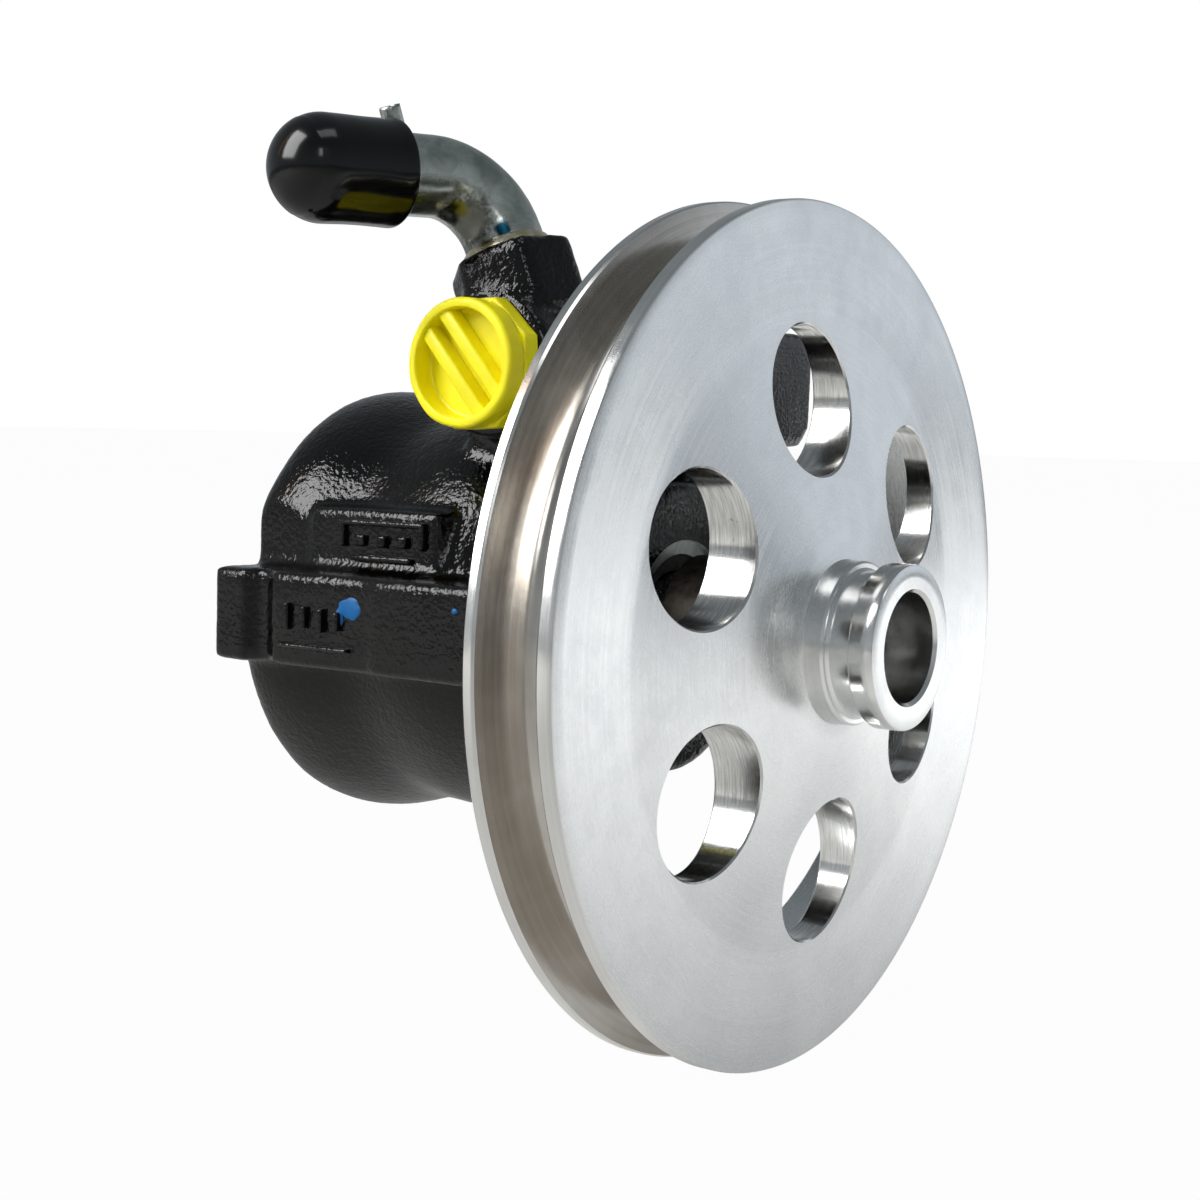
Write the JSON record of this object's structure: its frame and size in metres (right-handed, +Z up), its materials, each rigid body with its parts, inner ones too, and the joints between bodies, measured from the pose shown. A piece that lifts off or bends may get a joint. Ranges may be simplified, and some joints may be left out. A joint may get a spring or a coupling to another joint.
{
  "type": "power steering pump",
  "caption": "Hydraulic vane pump in a black cast housing with a windowed aluminium V-belt pulley, a bent inlet tube under a soft cap and a plugged outlet port.",
  "frame": {"origin": "on the shaft axis in the plane of the housing's front mounting faces, where the round nose pilot starts", "axes": "-Y along the shaft towards the pulley, +Z up towards the inlet tube, -X towards the outlet port and the side lug"},
  "size_m": [0.1524, 0.1186, 0.168],
  "materials": {
    "black_iron": "gloss black paint on a sand-cast skin",
    "billet_aluminium": "fine turned",
    "zinc_steel": "zinc plated",
    "machined_steel": "ground",
    "bearing_steel": "polished",
    "spring_steel": "oiled spring wire",
    "sintered_iron": "ground sintered iron",
    "cage_brass": "machined",
    "seal_rubber": "moulded nitrile",
    "black_vinyl": "dipped gloss vinyl",
    "yellow_plastic": "moulded polyethylene"
  },
  "bodies": {
    "pump_body": {"pump_housing": "black_iron", "bearing_retaining_ring": "spring_steel", "bearing_outer_race": "bearing_steel", "shaft_seal_case": "zinc_steel", "shaft_seal_lip": "seal_rubber", "shaft_bushing": "cage_brass", "thrust_plate": "sintered_iron", "cam_ring": "sintered_iron", "pressure_plate": "sintered_iron", "dowel_pin_upper": "bearing_steel", "dowel_pin_lower": "bearing_steel", "pressure_plate_spring": "spring_steel", "pressure_plate_seal": "seal_rubber", "end_cover": "machined_steel", "end_cover_seal": "seal_rubber", "end_cover_ring": "spring_steel", "outlet_fitting": "zinc_steel", "outlet_fitting_seal": "seal_rubber", "inlet_tube": "zinc_steel", "inlet_tube_seal": "seal_rubber", "tube_locating_tab": "zinc_steel"},
    "rotating_group": {"drive_shaft": "machined_steel", "bearing_inner_race": "bearing_steel", "pulley": "billet_aluminium", "rotor": "sintered_iron", "rotor_retaining_ring": "spring_steel"},
    "bearing_cage_group": {"bearing_balls": "bearing_steel", "bearing_cage": "cage_brass"},
    "flow_valve": {"flow_control_spool": "machined_steel", "relief_seat": "machined_steel", "relief_ball": "bearing_steel", "relief_guide": "machined_steel", "relief_spring": "spring_steel", "flow_control_spring": "spring_steel"},
    "inlet_cap_body": {"inlet_cap": "black_vinyl"},
    "outlet_plug_body": {"outlet_plug": "yellow_plastic"},
    "vane_01_body": {"vane_01": "machined_steel"},
    "vane_02_body": {"vane_02": "machined_steel"},
    "vane_03_body": {"vane_03": "machined_steel"},
    "vane_04_body": {"vane_04": "machined_steel"},
    "vane_05_body": {"vane_05": "machined_steel"},
    "vane_06_body": {"vane_06": "machined_steel"},
    "vane_07_body": {"vane_07": "machined_steel"},
    "vane_08_body": {"vane_08": "machined_steel"},
    "vane_09_body": {"vane_09": "machined_steel"},
    "vane_10_body": {"vane_10": "machined_steel"}
  },
  "joints": [
    {"name": "shaft_spin", "type": "hinge", "parent": "pump_body", "child": "rotating_group", "pos_m": [0, 0, 0], "axis": [0, 1, 0], "continuous": true},
    {"name": "cage_spin", "type": "hinge", "parent": "pump_body", "child": "bearing_cage_group", "pos_m": [0, 0.01, 0], "axis": [0, 1, 0], "continuous": true},
    {"name": "flow_valve_slide", "type": "slide", "parent": "pump_body", "child": "flow_valve", "axis": [1, 0, 0], "range_m": [0, 0.008], "stiffness_N_per_m": 3000, "springref_m": -0.004, "deforming": ["flow_control_spring"]},
    {"name": "inlet_cap_pull", "type": "slide", "parent": "pump_body", "child": "inlet_cap_body", "axis": [-0.9571, 0.288, -0.03], "range_m": [0, 0.024]},
    {"name": "outlet_plug_withdraw", "type": "slide", "parent": "pump_body", "child": "outlet_plug_body", "axis": [-1, 0, 0], "range_m": [0, 0.012]},
    {"name": "vane_01_slide", "type": "slide", "parent": "rotating_group", "child": "vane_01_body", "axis": [1, 0, 0], "range_m": [0, 0.00031]},
    {"name": "vane_02_slide", "type": "slide", "parent": "rotating_group", "child": "vane_02_body", "axis": [0.809, 0, 0.5878], "range_m": [0, 0.00122]},
    {"name": "vane_03_slide", "type": "slide", "parent": "rotating_group", "child": "vane_03_body", "axis": [0.309, 0, 0.9511], "range_m": [0, 0.00295]},
    {"name": "vane_04_slide", "type": "slide", "parent": "rotating_group", "child": "vane_04_body", "axis": [-0.309, 0, 0.9511], "range_m": [0, 0.00295]},
    {"name": "vane_05_slide", "type": "slide", "parent": "rotating_group", "child": "vane_05_body", "axis": [-0.809, 0, 0.5878], "range_m": [0, 0.00122]},
    {"name": "vane_06_slide", "type": "slide", "parent": "rotating_group", "child": "vane_06_body", "axis": [-1, 0, 0], "range_m": [0, 0.00031]},
    {"name": "vane_07_slide", "type": "slide", "parent": "rotating_group", "child": "vane_07_body", "axis": [-0.809, 0, -0.5878], "range_m": [0, 0.00122]},
    {"name": "vane_08_slide", "type": "slide", "parent": "rotating_group", "child": "vane_08_body", "axis": [-0.309, 0, -0.9511], "range_m": [0, 0.00295]},
    {"name": "vane_09_slide", "type": "slide", "parent": "rotating_group", "child": "vane_09_body", "axis": [0.309, 0, -0.9511], "range_m": [0, 0.00295]},
    {"name": "vane_10_slide", "type": "slide", "parent": "rotating_group", "child": "vane_10_body", "axis": [0.809, 0, -0.5878], "range_m": [0, 0.00122]}
  ],
  "couplings": [
    {"joint": "cage_spin", "follows": "shaft_spin", "ratio": 0.4}
  ]
}
